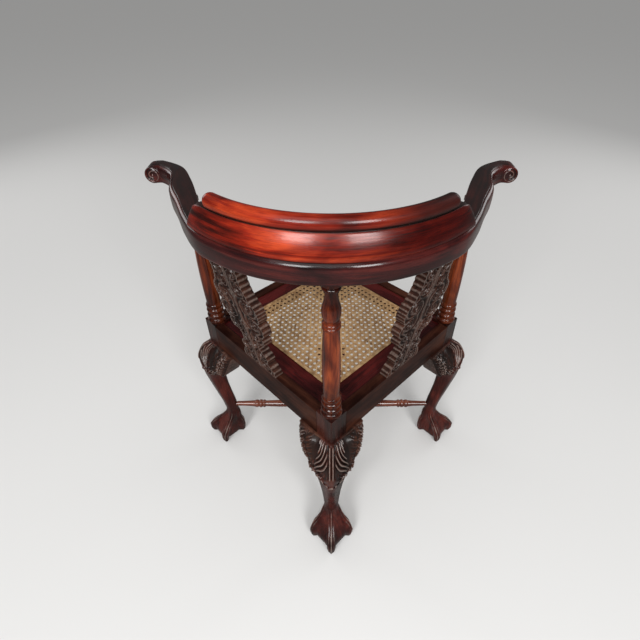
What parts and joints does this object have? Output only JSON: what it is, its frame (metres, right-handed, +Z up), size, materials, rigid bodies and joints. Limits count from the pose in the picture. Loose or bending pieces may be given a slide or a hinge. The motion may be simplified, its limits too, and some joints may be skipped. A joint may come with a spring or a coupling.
{
  "type": "corner chair",
  "caption": "Carved corner armchair: square seat set on the diagonal with a drop-in caned frame, cabriole claw legs, turned columns, splats and a horseshoe arm with a raised crest.",
  "frame": {"origin": "on the floor, below the middle of the square seat", "axes": "+Z up; -Y the way the sitter faces, through the front leg; +X to the sitter's left"},
  "size_m": [0.708, 0.6976, 0.8142],
  "materials": {
    "arm_mahogany": "gloss french polish",
    "crest_mahogany": "gloss french polish",
    "column_mahogany": "gloss french polish",
    "splat_mahogany": "carved, worn polish",
    "leg_mahogany": "carved, worn polish",
    "bracket_mahogany": "carved, worn polish",
    "rail_mahogany": "gloss french polish",
    "stretcher_mahogany": "gloss french polish",
    "seat_frame_mahogany": "gloss french polish",
    "block_beech": "bare",
    "cane_weave": "woven, satin",
    "cane_strip": "satin",
    "screw_steel": "dull"
  },
  "bodies": {
    "chair": {"arm_left": "arm_mahogany", "arm_right": "arm_mahogany", "column_back": "column_mahogany", "column_left": "column_mahogany", "column_right": "column_mahogany", "corner_block_back": "block_beech", "corner_block_front": "block_beech", "corner_block_left": "block_beech", "corner_block_right": "block_beech", "corner_screws": "screw_steel", "crest_rail": "crest_mahogany", "crest_screws": "screw_steel", "knee_bracket_back_left_a": "bracket_mahogany", "knee_bracket_back_left_b": "bracket_mahogany", "knee_bracket_back_right_a": "bracket_mahogany", "knee_bracket_back_right_b": "bracket_mahogany", "knee_bracket_front_left_a": "bracket_mahogany", "knee_bracket_front_left_b": "bracket_mahogany", "knee_bracket_front_right_a": "bracket_mahogany", "knee_bracket_front_right_b": "bracket_mahogany", "leg_back": "leg_mahogany", "leg_front": "leg_mahogany", "leg_left": "leg_mahogany", "leg_right": "leg_mahogany", "rail_back_left": "rail_mahogany", "rail_back_right": "rail_mahogany", "rail_front_left": "rail_mahogany", "rail_front_right": "rail_mahogany", "splat_back_left": "splat_mahogany", "splat_back_right": "splat_mahogany", "stretcher_long": "stretcher_mahogany", "stretcher_side": "stretcher_mahogany"},
    "drop_in_seat": {"seat_stile_back_left": "seat_frame_mahogany", "seat_stile_front_right": "seat_frame_mahogany", "seat_rail_back_right": "seat_frame_mahogany", "seat_rail_front_left": "seat_frame_mahogany", "cane_panel": "cane_weave", "cane_binding": "cane_strip"}
  },
  "joints": [
    {"name": "seat_lift", "type": "slide", "parent": "chair", "child": "drop_in_seat", "axis": [0, 0, 1], "range_m": [0, 0.12]}
  ]
}
